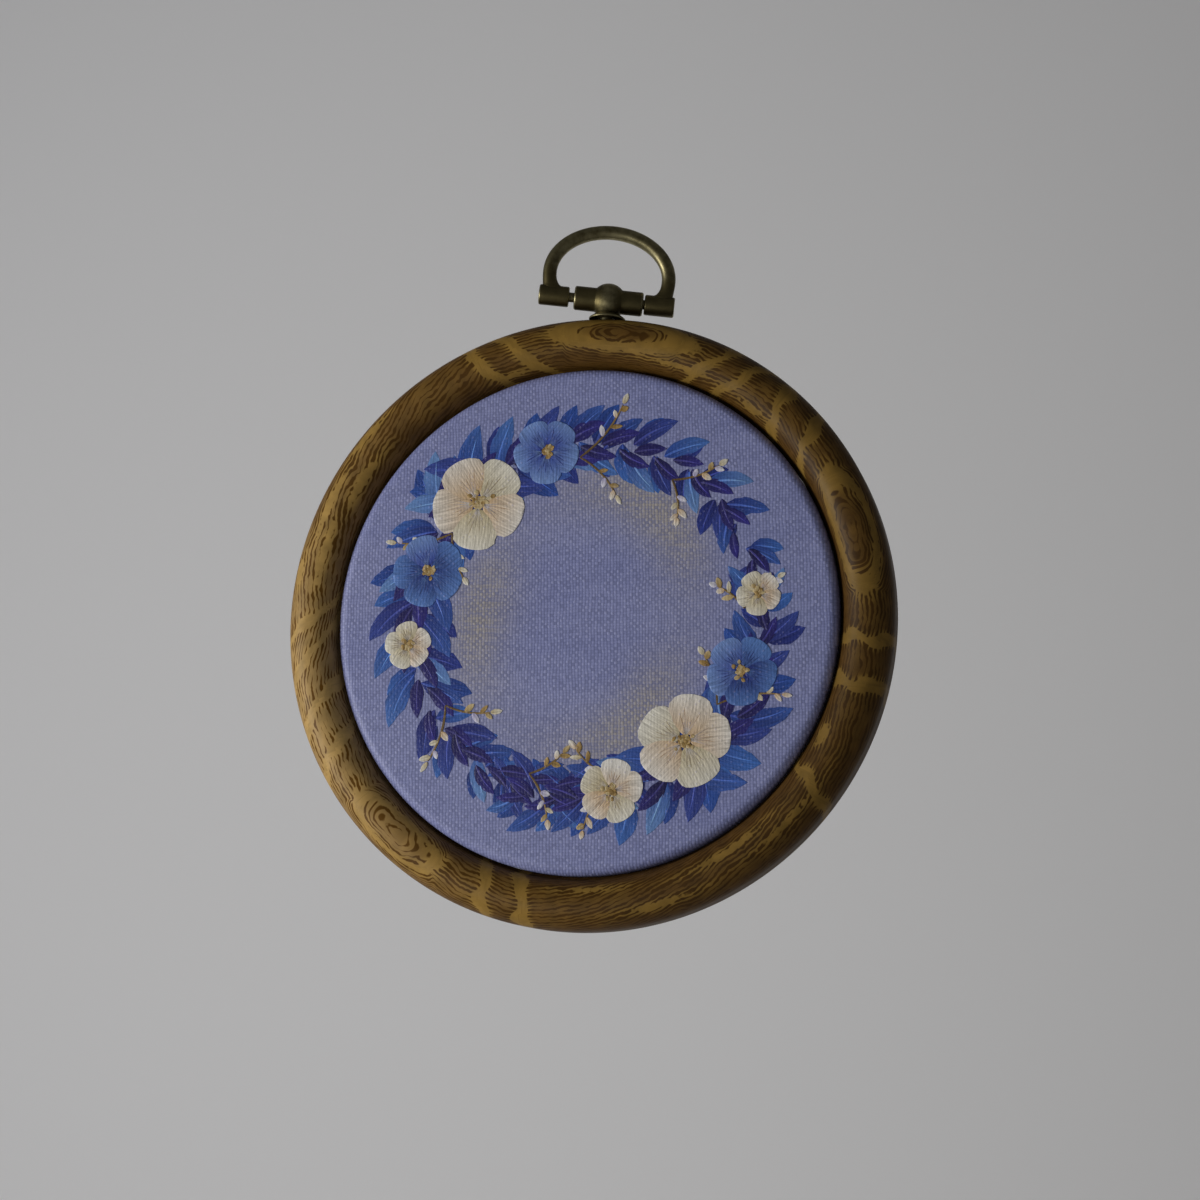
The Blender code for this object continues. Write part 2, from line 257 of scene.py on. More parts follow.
def acrylic_ground():
    """Thin lavender acrylic on primed canvas, in soft brush clouds 38 by 11 mm.

    Beige is dry-brushed over it in bristle marks 9 by 0.6 mm that catch on the crowns of the threads.
    """
    material, tree, shader = new_material("acrylic_lavender_on_primed_canvas", 0.5)
    place = add(tree, "ShaderNodeTexCoord", out="Object")
    height = weave_height(tree, place)
    stretched = add(tree, "ShaderNodeMapping", {"Vector": place, "Scale": (1.0, 1.0, 3.4)})
    cloud = add(
        tree, "ShaderNodeTexNoise", {"Vector": stretched, "Scale": 26.0, "Detail": 4.0, "Roughness": 0.6}
    )
    brushed = add(
        tree, "ShaderNodeMapping", {"Vector": place, "Rotation": (0, 0.5, 0), "Scale": (1.0, 1.0, 16.0)}
    )
    bristles = add(
        tree, "ShaderNodeTexNoise", {"Vector": brushed, "Scale": 110.0, "Detail": 4.0, "Roughness": 0.7}
    )
    ground = add(
        tree, "ShaderNodeMix",
        {0: cloud, 6: linear("#8089C4"), 7: linear("#A2A8D8")}, out=2, data_type="RGBA",
    )
    haze = add(tree, "ShaderNodeAttribute", out="Fac", attribute_name="haze")
    dry = add(tree, "ShaderNodeMath", {0: bristles, 1: height}, operation="ADD")
    caught = add(
        tree, "ShaderNodeMapRange",
        {"Value": dry, "From Min": 0.6, "From Max": 1.3, "To Min": 0.3, "To Max": 0.95},
        interpolation_type="SMOOTHSTEP",
    )
    beige = add(tree, "ShaderNodeMath", {0: caught, 1: haze}, operation="MULTIPLY")
    washed = add(
        tree, "ShaderNodeMix", {0: beige, 6: ground, 7: linear("#B5AC9C")}, out=2, data_type="RGBA"
    )
    # Crowns of the threads paler, partly where thin paint shows the primer and partly as painted highlight;
    # pits darker, partly where paint pools and partly as painted shade
    crown = add(
        tree, "ShaderNodeMapRange",
        {"Value": height, "From Min": 0.4, "From Max": 1.0, "To Min": 0.0, "To Max": 0.2},
    )
    worn = add(tree, "ShaderNodeMix", {0: crown, 6: washed, 7: linear("#D2D4EC")}, out=2, data_type="RGBA")
    hollow = add(
        tree, "ShaderNodeMapRange",
        {"Value": height, "From Min": 0.12, "From Max": 0.55, "To Min": 0.6, "To Max": 1.0},
    )
    shaded = add(tree, "ShaderNodeVectorMath", {0: worn, "Scale": hollow}, operation="SCALE")
    tree.links.new(shaded, shader.inputs["Base Color"])
    weave_bump(tree, shader, height, 0.55, 0.00013)
    return material


def cotton_canvas():
    """Bare cotton canvas on the back and the skirt: off-white threads, slubs 4 mm long and darker pits."""
    material, tree, shader = new_material("cotton_canvas_plain_woven", 0.85)
    place = add(tree, "ShaderNodeTexCoord", out="Object")
    height = weave_height(tree, place)
    slub = add(tree, "ShaderNodeTexNoise", {"Vector": place, "Scale": 240.0, "Detail": 3.0})
    thread = add(
        tree, "ShaderNodeMix",
        {0: slub, 6: linear("#BFB092"), 7: linear("#E2D8BF")}, out=2, data_type="RGBA",
    )
    # Painted shade: the pits of the weave darker than the crowns
    depth = add(
        tree, "ShaderNodeMapRange",
        {"Value": height, "From Min": 0.1, "From Max": 0.7, "To Min": 0.5, "To Max": 1.0},
    )
    colour = add(tree, "ShaderNodeVectorMath", {0: thread, "Scale": depth}, operation="SCALE")
    tree.links.new(colour, shader.inputs["Base Color"])
    shader.inputs["Sheen Weight"].default_value = 0.25
    shader.inputs["Sheen Roughness"].default_value = 0.5
    weave_bump(tree, shader, height, 0.8, 0.00016)
    return material


rolled = CANVAS_RADIUS - CANVAS_ROLL
quarter = np.linspace(0, math.pi / 2, 9)
disc = np.linspace(0, rolled, 84)[1:-1]
front_face = np.stack([disc, np.full_like(disc, CANVAS_FRONT)], 1)
roll = np.stack([
    rolled + CANVAS_ROLL * np.sin(quarter), CANVAS_FRONT + CANVAS_ROLL * (1 - np.cos(quarter))
], 1)
skirt_end = canvas_high[1]
skirt = np.stack([np.full(8, CANVAS_RADIUS), np.linspace(CANVAS_FRONT + CANVAS_ROLL + 0.6, skirt_end, 8)], 1)
hem = np.array([(CANVAS_RADIUS - 0.5, skirt_end + 0.06), (CANVAS_RADIUS - CANVAS_THICKNESS, skirt_end)])
inside_roll = np.zeros_like(roll)
inside_roll[:, 0] = rolled + (CANVAS_ROLL - CANVAS_THICKNESS) * np.sin(quarter[::-1])
inside_roll[:, 1] = CANVAS_FRONT + CANVAS_ROLL - (CANVAS_ROLL - CANVAS_THICKNESS) * np.cos(quarter[::-1])
back_face = np.stack([disc[::-3], np.full(len(disc[::-3]), CANVAS_FRONT + CANVAS_THICKNESS)], 1)
canvas_profile = np.concatenate([front_face, roll, skirt, hem, inside_roll, back_face])
canvas_points = turned(canvas_profile, CANVAS_STEPS)
canvas_x, canvas_z = (canvas_points[..., k] - HOOP_CENTRE[k] for k in (0, 2))
canvas_points[..., 1] += slack(canvas_x, canvas_z)
clock = np.arctan2(canvas_x, canvas_z)
fray = 0.5 * np.sin(23 * clock + 2 * np.sin(5 * clock)) + 0.5 * np.sin(61 * clock)
at_end = canvas_points[..., 1] > skirt_end - 0.01
canvas_points[..., 1] -= np.where(at_end, SKIRT_FRAY * (1 + fray), 0)

rows, columns = canvas_points.shape[:2]
ring_quads = grid_faces(rows, columns, round_columns=False)
poles = HOOP_CENTRE + np.array([CANVAS_FRONT, CANVAS_FRONT + CANVAS_THICKNESS])[:, None] * FORWARD
poles[:, 1] += slack(0.0, 0.0)
spoke = np.arange(rows) * columns
spoke_after = np.roll(spoke, -1)
fans = [
    np.stack([np.full(rows, rows * columns), spoke_after, spoke], 1),
    np.stack([np.full(rows, rows * columns + 1), spoke + columns - 1, spoke_after + columns - 1], 1),
]
canvas = build(
    "stretched_canvas", np.concatenate([canvas_points.reshape(-1, 3), poles]), ring_quads, *fans, sharp=60
)
canvas.data.materials.append(acrylic_ground())
canvas.data.materials.append(cotton_canvas())
painted_columns = len(front_face) + len(roll) + len(skirt) - 1
face_column = np.concatenate([np.tile(np.arange(columns - 1), rows), np.zeros(rows), np.full(rows, columns)])
canvas.data.polygons.foreach_set("material_index", (face_column >= painted_columns).astype(np.int32))
points_x, points_z = np.append(canvas_x, [0, 0]), np.append(canvas_z, [0, 0])
halo_radius, halo_clock = np.hypot(points_x, points_z), np.arctan2(points_x, points_z)
halo = np.exp(-(((halo_radius - 24 - 3 * np.sin(2 * halo_clock + 1)) / 6.5) ** 2))
halo *= 0.6 + 0.4 * np.sin(3 * halo_clock)
canvas.data.attributes.new("haze", "FLOAT", "POINT").data.foreach_set("value", halo.astype(np.float32))
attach(canvas, "hoop")
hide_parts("canvas")

# Painted wreath
# Brush strokes of thicker acrylic on the canvas: leafy sprigs, five-petalled flowers and buds in a wreath.
# Each stroke is a low body of paint with square sides, laid over the ones before it.
STROKE_ROWS = 15
STROKE_SECTION = np.array([
    (-1, -0.03), (-1, 0.75), (-0.8, 1), (-0.3, 1), (0.3, 1), (0.8, 1), (1, 0.75), (1, -0.03),
])
LAYER_STEP = 0.00022
random = np.random.default_rng(11)


def paint_strokes(name, start, heading, length, width, bend, shape, colours, lift, ragged=0.05):
    """Ribbons of paint: the spine is an arc, its half-width t^p (1-t)^q, and a low section rides along it."""
    count = len(start)
    t = (1 - np.cos(np.linspace(0.02, 0.98, STROKE_ROWS) * math.pi)) / 2
    angle = heading[:, None] + bend[:, None] * (t - 0.5)
    middle_angle = (angle[:, 1:] + angle[:, :-1]) / 2
    travel = np.diff(t) * length[:, None]
    steps = [np.cumsum(part(middle_angle) * travel, 1) for part in (np.cos, np.sin)]
    spine = [np.pad(step, ((0, 0), (1, 0))) + start[:, k, None] for k, step in enumerate(steps)]
    p, q = shape
    peak = (p / (p + q)) ** p * (q / (p + q)) ** q
    half = width[:, None] / 2 * t**p * (1 - t) ** q / peak
    half = half * (1 + ragged * random.normal(size=half.shape))
    across, rise = STROKE_SECTION.T
    x = spine[0][..., None] - np.sin(angle)[..., None] * half[..., None] * across
    z = spine[1][..., None] + np.cos(angle)[..., None] * half[..., None] * across
    height = np.array(lift)[:, None, None] * rise
    y = CANVAS_FRONT + slack(x, z) - height
    points = np.stack([x, y, z], -1) + HOOP_CENTRE
    size = STROKE_ROWS * len(across)
    one = grid_faces(STROKE_ROWS, len(across), round_rows=False)
    ends = np.array([np.arange(len(across))[::-1], np.arange(size - len(across), size)])
    offset = (np.arange(count) * size)[:, None, None]
    sides, ends = (one + offset).reshape(-1, 4), (ends + offset).reshape(-1, len(across))
    piece = build(name, points, sides, ends, sharp=50)
    blend = np.clip(t + 0.12 * random.normal(size=(count, 1)), 0, 1)[..., None]
    shade = colours[0][:, None] * (1 - blend) + colours[1][:, None] * blend
    shade = np.repeat(shade[:, :, None], len(across), 2)
    paint = np.concatenate([shade, np.ones(shade.shape[:-1] + (1,))], -1)
    piece.data.attributes.new("paint", "FLOAT_COLOR", "POINT").data.foreach_set(
        "color", paint.astype(np.float32).ravel()
    )
    seed = np.broadcast_to(np.arange(count)[:, None, None] * 3.7, x.shape)
    along = np.broadcast_to((t * length[:, None])[..., None], x.shape)
    bristle = np.stack([along, half[..., None] * across, seed], -1)
    piece.data.attributes.new("bristle", "FLOAT_VECTOR", "POINT").data.foreach_set(
        "vector", bristle.astype(np.float32).ravel()
    )
    piece.data.materials.append(acrylic_strokes)
    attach(piece, "hoop")
    return piece


def acrylic_stroke_paint():
    """Brushed acrylic: bristle streaks 0.3 mm apart run along each stroke, and the weave shows through it."""
    material, tree, shader = new_material("acrylic_brushed_strokes", 0.42)
    place = add(tree, "ShaderNodeTexCoord", out="Object")
    height = weave_height(tree, place)
    paint = add(tree, "ShaderNodeAttribute", out="Color", attribute_name="paint")
    bristle = add(tree, "ShaderNodeAttribute", out="Vector", attribute_name="bristle")
    drawn = add(tree, "ShaderNodeVectorMath", {0: bristle, 1: (0.22, 3.2, 1.0)}, operation="MULTIPLY")
    streak = add(tree, "ShaderNodeTexNoise", {"Vector": drawn, "Scale": 1.0, "Detail": 3.0, "Roughness": 0.6})
    level = add(
        tree, "ShaderNodeMapRange",
        {"Value": streak, "From Min": 0.3, "From Max": 0.7, "To Min": 0.68, "To Max": 1.32},
    )
    streaked = add(tree, "ShaderNodeVectorMath", {0: paint, "Scale": level}, operation="SCALE")
    thin = add(tree, "ShaderNodeMath", {0: streak, 1: height}, operation="MULTIPLY")
    worn = add(
        tree, "ShaderNodeMapRange",
        {"Value": thin, "From Min": 0.42, "From Max": 0.75, "To Min": 0.0, "To Max": 0.5},
    )
    colour = add(tree, "ShaderNodeMix", {0: worn, 6: streaked, 7: linear("#A9A9D8")}, out=2, data_type="RGBA")
    tree.links.new(colour, shader.inputs["Base Color"])
    relief = add(tree, "ShaderNodeMath", {0: streak, 1: 1.1, 2: height}, operation="MULTIPLY_ADD")
    weave_bump(tree, shader, relief, 0.5, 0.0001)
    return material


def sprig_leaves(turns, radius, lengths, lean, curl):
    """Leaves along a circle of the wreath: each starts on it and heads along it, leant out or in by turns."""
    side = np.where(np.arange(len(turns)) % 2 == 0, 1, -1)
    start = np.stack([radius * np.cos(turns), radius * np.sin(turns)], 1)
    heading = turns + curl * (math.pi / 2 - side * lean)
    bend = curl * side * random.uniform(0.2, 0.7, len(turns))
    return start, heading, lengths, bend


def pick(palette, count):
    """Two linear colours a stroke, drawn at random from pairs of hex colours."""
    pairs = np.array([[linear(c)[:3] for c in pair] for pair in palette])
    return pairs[random.integers(0, len(pairs), count)].transpose(1, 0, 2)


def gathered(rows):
    """Rows of strokes joined into one set: their five shape arrays, their colours and their lifts."""
    shapes = [np.concatenate([row[k] for row in rows]) for k in range(5)]
    return shapes, np.concatenate([row[5] for row in rows], 1), np.concatenate([row[6] for row in rows])


acrylic_strokes = acrylic_stroke_paint()
LEAF_DEEP = [("#1B2A74", "#2F57AE"), ("#213689", "#4272C4"), ("#1A2268", "#2D3F98")]
LEAF_BLUES = [("#2A4A9E", "#4F7BC6"), ("#1F2F80", "#3D62B4"), ("#3558AC", "#6F97D2"), ("#262C78", "#3A4FA4")]
LEAF_INDIGO = [("#201C5C", "#2D2A78"), ("#1B1850", "#34308A")]
GOLD = [("#8A6B34", "#C7A76A"), ("#A98C55", "#D9C596")]
CREAM = [("#C9B98F", "#EFEBDD"), ("#D8B88E", "#F2EEE6"), ("#B9B4D6", "#F0EFF4")]
BLUE_PETALS = [("#20307F", "#5E86CC"), ("#27399A", "#7B9BD8")]
# Arms of the wreath: from and to in degrees, the way that they grow, and their radius in mm
ARMS = ((148, 20, -1, 36), (128, 292, 1, 35.5), (-52, 12, 1, 37), (-48, -112, -1, 36.5))
# Layers of leaves, lowest first: colours, length in mm, width as a share of it, lean in radians, lift in mm
LAYERS = (
    (LEAF_DEEP, 11.5, 0.46, 1.1, 0.02),
    (LEAF_BLUES, 14.0, 0.36, 0.75, 0.04),
    (LEAF_INDIGO, 10.5, 0.36, 0.35, 0.06),
)
order = 0
wreath = []
for arm_start, arm_end, curl, radius in ARMS:
    turns = np.radians(np.linspace(arm_start, arm_end, 2 * max(6, abs(arm_end - arm_start) // 11)))
    fade = np.linspace(1, 0.55, len(turns))
    for palette, reach, breadth, lean, lift in LAYERS:
        start, heading, lengths, bend = sprig_leaves(
            turns + random.normal(0, 0.03, len(turns)), radius + random.normal(0, 0.6, len(turns)),
            reach * fade * random.uniform(0.85, 1.1, len(turns)), lean, curl,
        )
        lifts = lift + LAYER_STEP * (order + np.arange(len(turns)))
        order += len(turns)
        wreath.append((start, heading, lengths, lengths * breadth, bend, pick(palette, len(turns)), lifts))
leaves, leaf_colours, leaf_lift = gathered(wreath)
painted_leaves = paint_strokes("painted_leaves", *leaves, (0.8, 0.95), leaf_colours, leaf_lift)
rib_colours = np.clip(leaf_colours * 1.9 + 0.03, 0, 1)
painted_ribs = paint_strokes(
    "painted_leaf_ribs", leaves[0], leaves[1], leaves[2] * 0.86, np.full(len(leaves[2]), 0.42),
    leaves[4] * 0.86, (0.3, 0.9), rib_colours, leaf_lift + 0.02,
)

HEART_SPOTS = 14
# Flowers: mm to the right of and above the middle, reach in mm, and colour
FLOWERS = [(-23.5, 23.0, 9.2, "cream"), (-33.0, 8.5, 7.0, "blue"), (-10.0, 34.0, 6.4, "blue"),
           (22.5, -24.0, 8.8, "cream"), (33.0, -9.5, 6.6, "blue"), (8.5, -34.5, 6.0, "cream"),
           (-36.0, -7.0, 4.6, "cream"), (35.5, 6.0, 4.2, "cream")]
petal_rows = []
heart_rows = []
for rank, (x, z, reach, kind) in enumerate(FLOWERS):
    headings = math.tau * np.arange(5) / 5 + random.uniform(0, 1.2)
    centre = np.array([(x, z)]) + 0.12 * reach * np.stack([np.cos(headings), np.sin(headings)], 1)
    palette = BLUE_PETALS if kind == "blue" else CREAM[:2]
    petal_rows.append((
        centre, headings, np.full(5, reach * 0.95), np.full(5, reach * 1.02), random.normal(0, 0.12, 5),
        pick(palette, 5), 0.15 + 0.03 * (np.arange(5) % 2) + 0.006 * np.arange(5) + 0.002 * rank,
    ))
    middle_spot = np.array([(x - 0.15 * reach, z)])
    spots = np.concatenate([middle_spot, random.normal(0, 0.11 * reach, (HEART_SPOTS, 2)) + (x, z)])
    heart_rows.append((
        spots, np.append(0, random.uniform(0, math.tau, HEART_SPOTS)),
        np.append(0.3 * reach, random.uniform(0.7, 1.3, HEART_SPOTS)),
        np.append(0.3 * reach, random.uniform(0.6, 1.0, HEART_SPOTS)),
        np.zeros(HEART_SPOTS + 1), pick(GOLD, HEART_SPOTS + 1), 0.24 + 0.003 * np.arange(HEART_SPOTS + 1),
    ))
petals, petal_colours, petal_lift = gathered(petal_rows)
painted_petals = paint_strokes(
    "painted_petals", *petals, (0.75, 0.42), petal_colours, petal_lift, ragged=0.02
)
streaks = 5
spread = np.tile(np.linspace(-0.42, 0.42, streaks), len(petals[1]))
streak_of = [np.repeat(values, streaks, 0) for values in petals]
streak_colours = np.clip(np.repeat(petal_colours[::-1], streaks, 1) * (0.75, 0.72, 0.75), 0, 1)
painted_streaks = paint_strokes(
    "painted_petal_streaks", streak_of[0], streak_of[1] + spread,
    streak_of[2] * random.uniform(0.45, 0.72, len(spread)), np.full(len(spread), 0.34), streak_of[4],
    (0.4, 0.8), streak_colours, np.repeat(petal_lift, streaks) + 0.012,
)
hearts, heart_colours, heart_lift = gathered(heart_rows)
painted_hearts = paint_strokes(
    "painted_flower_hearts", *hearts, (0.5, 0.5), heart_colours, heart_lift, ragged=0.0
)

TWIG_START = 33
# Sprigs of buds: where in degrees, the way that they curl, and their reach in mm
BUD_SPRIGS = [
    (150, 1, 12), (95, -1, 14), (215, 1, 12), (-30, 1, 13),
    (-75, -1, 12), (60, -1, 10), (255, 1, 10), (5, 1, 9),
]
twig_rows = []
bud_rows = []
for clock_deg, curl, reach in BUD_SPRIGS:
    turn = math.radians(clock_deg)
    base = np.array([(TWIG_START * math.cos(turn), TWIG_START * math.sin(turn))])
    for side, share in ((1, 1.0), (-1, 0.8)):
        heading = np.array([turn + curl * (math.pi / 2 - side * 0.85)])
        length = np.array([reach * share])
        bend = np.array([-curl * side * 0.6])
        twig_rows.append((base, heading, length, np.array([0.45]), bend))
        t = np.array([0.45, 0.62, 0.78, 0.9, 1.0])
        angle = heading + bend * (t / 2 - 0.5)
        tips = base + (length * t)[:, None] * np.stack([np.cos(angle), np.sin(angle)], 1)
        lean = angle + bend * t / 2 + np.array([0.9, -0.9, 0.8, -0.8, 0.0])
        bud_rows.append((tips, lean, random.uniform(1.7, 2.6, 5), random.uniform(0.9, 1.3, 5), np.zeros(5)))
twigs = [np.concatenate([row[k] for row in twig_rows]) for k in range(5)]
buds = [np.concatenate([row[k] for row in bud_rows]) for k in range(5)]
twig_colours = pick([("#6A5430", "#9C8150")], len(twigs[1]))
painted_twigs = paint_strokes(
    "painted_twigs", *twigs, (0.15, 0.3), twig_colours, 0.115 + LAYER_STEP * np.arange(len(twigs[1]))
)
bud_colours = pick(GOLD + CREAM, len(buds[1]))
painted_buds = paint_strokes(
    "painted_buds", *buds, (0.6, 0.7), bud_colours, 0.125 + LAYER_STEP * np.arange(len(buds[1]))
)

# Outer ring
# One soft vinyl moulding, half round in front and flat behind, that grips the canvas on the inner hoop. Its
# woodgrain is printed: an ochre base, browner fields of dark broken lines, and plain bands and knots between.
ring_low, ring_high = (np.array(corner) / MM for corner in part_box("outer_ring"))
RING_OUTER = (ring_high[0] - ring_low[0]) / 2
RING_SECTION = 5.1
RING_MID = RING_OUTER - RING_SECTION
RING_BACK = ring_high[1]
RING_BACK_EDGE = 1.2
FIT_GAP = 0.3
RING_BORE = CANVAS_RADIUS + FIT_GAP
RING_GRIP = CANVAS_RADIUS + 0.02
RING_STEPS = 540
LINE_PITCH = 0.88
STEM_HOLE = 1.5
# Plain bands, clockwise: where on the ring in degrees, mm along it for each mm outwards, width in mm, and the
# lean and curl of the grain lines in the field that follows
BANDS = np.array([
    (24.0, 0.65, 1.7, 0.08, 0.0), (31.0, 0.58, 1.7, 0.14, 0.0), (41.0, -0.25, 2.2, -0.15, 0.0),
    (50.0, -0.55, 2.0, -0.12, 0.0), (92.5, 0.0, 2.1, 0.05, 0.0), (101.5, 0.0, 2.5, 0.10, 0.0),
    (123.0, 0.30, 2.0, 0.10, 0.0035), (188.0, -0.22, 2.5, -0.10, 0.0), (196.0, -0.26, 2.2, -0.20, 0.0),
    (239.0, -0.75, 1.9, 0.0, 0.0), (249.0, -0.75, 2.2, -0.20, 0.0), (260.0, -1.05, 1.5, -0.25, 0.0),
    (267.0, -0.87, 1.5, 0.02, 0.0045), (334.5, -0.45, 2.1, -0.10, 0.0), (342.5, -0.80, 2.0, -0.06, 0.0),
])
# Knots: degrees, mm outwards, half length, half width, and the plain band round them, in mm
KNOTS = np.array([(4.5, 1.6, 9.5, 2.6, 1.6), (70.5, -0.2, 10.5, 3.5, 1.1), (217.5, -0.2, 10.0, 3.4, 0.8)])
# Plain streaks: degrees, mm outwards, half length and half width in mm
STREAKS = np.array([
    (131, 1.5, 6.0, 0.5), (144, -1.5, 7.0, 0.6), (160, 2.4, 5.0, 0.6), (174, -3.0, 4.0, 0.5),
    (277.0, 3.6, 3.0, 1.1), (281.0, -1.2, 6.0, 0.8), (291.5, 1.6, 7.0, 0.8), (299.0, -2.4, 6.5, 0.9),
    (306.5, 3.2, 4.5, 0.8), (113, -3.4, 2.6, 1.1), (18.0, -3.3, 6.0, 0.5), (36, -4.0, 3.0, 0.8),
    (340, -5.0, 3.0, 0.5),
])


def grain_print(degrees, outwards):
    """The print's maps, in mm: where a point lies across the grain lines, and how far from a plain place.

    Lines keep outwards - lean * travel - curl * travel^2 / 2 constant from band to band, part round each knot
    by the height of its ellipse, w sqrt(1 - (a / l)^2), and turn into rings inside it.
    """
    turn = np.radians(degrees)
    whole = math.tau * RING_MID
    along = turn * RING_MID + 0.5 * np.sin(outwards / 1.7 + 10 * turn)
    along += 0.3 * np.sin(outwards / 0.9 - 25 * turn)
    swell = 1 + 0.3 * np.sin(outwards / 1.3 + 7 * turn)
    places = [*BANDS[:, :2], *((clock_at, 0.0) for clock_at in (*KNOTS[:, 0], *STREAKS[:, 0]))]
    away = [
        (along - math.radians(clock_at) * RING_MID - slant * outwards + whole / 2) % whole - whole / 2
        for clock_at, slant in places
    ]
    from_band, from_knot, from_streak = np.split(np.array(away), np.cumsum([len(BANDS), len(KNOTS)]))
    band_edge = [
        np.abs(d) / math.hypot(1, slant) - width / 2 * swell
        for d, (_, slant, width, *_) in zip(from_band, BANDS)
    ]
    edge = np.min(band_edge, axis=0)
    travel = from_band % whole
    last, travel = np.argmin(travel, axis=0), np.min(travel, axis=0)
    parted = outwards.copy()
    for a, (_, out, length, width, plain) in zip(from_knot, KNOTS):
        grown = 1 + plain / width / 2
        above = outwards - out
        height = width * grown * np.sqrt(np.clip(1 - (a / length / grown) ** 2, 0, 1))
        parted -= np.sign(above) * height * np.exp(-((above / 8) ** 4))
    lines = parted - BANDS[last, 3] * travel - BANDS[last, 4] * travel**2 / 2 + 3.3 * last
    for a, (_, out, length, width, plain) in zip(from_knot, KNOTS):
        egg = np.hypot(a / length, (outwards - out) / width)
        rings = egg + 0.3 * (outwards - out) / width + 0.1 * np.sin(a / 1.3)
        lines = np.where(egg < 1 + plain / width / 2, rings * width * 1.15, lines)
        outside = np.maximum((egg - 1) * width - plain, -plain / 2)
        edge = np.where(egg < 1, width * (1 - egg), np.where(egg < 1 + plain / width, outside, edge))
        edge = np.where(egg >= 1, np.minimum(edge, outside), edge)
    for a, (_, out, length, width) in zip(from_streak, STREAKS):
        edge = np.minimum(edge, (np.hypot(a / length, (outwards - out) / width) - 1) * width)
    return lines, edge


